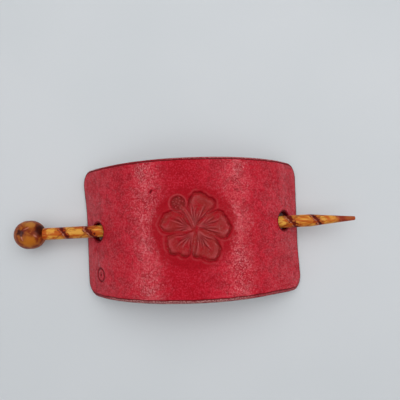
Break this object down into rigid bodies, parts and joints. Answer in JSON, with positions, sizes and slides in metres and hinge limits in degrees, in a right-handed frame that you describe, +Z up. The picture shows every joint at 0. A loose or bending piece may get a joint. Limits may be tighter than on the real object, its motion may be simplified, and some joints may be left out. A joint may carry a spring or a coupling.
{
  "type": "hair slide",
  "caption": "Bowed leather hair slide with a pressed flower, held on the hair by a ball-ended tapered stick through punched holes near its ends.",
  "frame": {"origin": "under the middle of the leather, on the surface that both of its ends rest on", "axes": "+X along the leather towards the stick's point, +Y across the leather, +Z up through the crown of the bow"},
  "size_m": [0.1549, 0.0592, 0.0311],
  "materials": {
    "dyed_leather": "red-dyed vegetable-tanned leather, satin grain side, raw fibre edges",
    "amber_resin": "polished amber and dark brown marbled resin"
  },
  "bodies": {
    "leather": {"leather_panel": "dyed_leather"},
    "stick": {"stick_shaft": "amber_resin", "ball_knob": "amber_resin"}
  },
  "joints": [
    {"name": "stick_slide", "type": "slide", "parent": "leather", "child": "stick", "axis": [-0.9997, -0.0127, -0.0188], "range_m": [-0.0207, 0.125]}
  ]
}
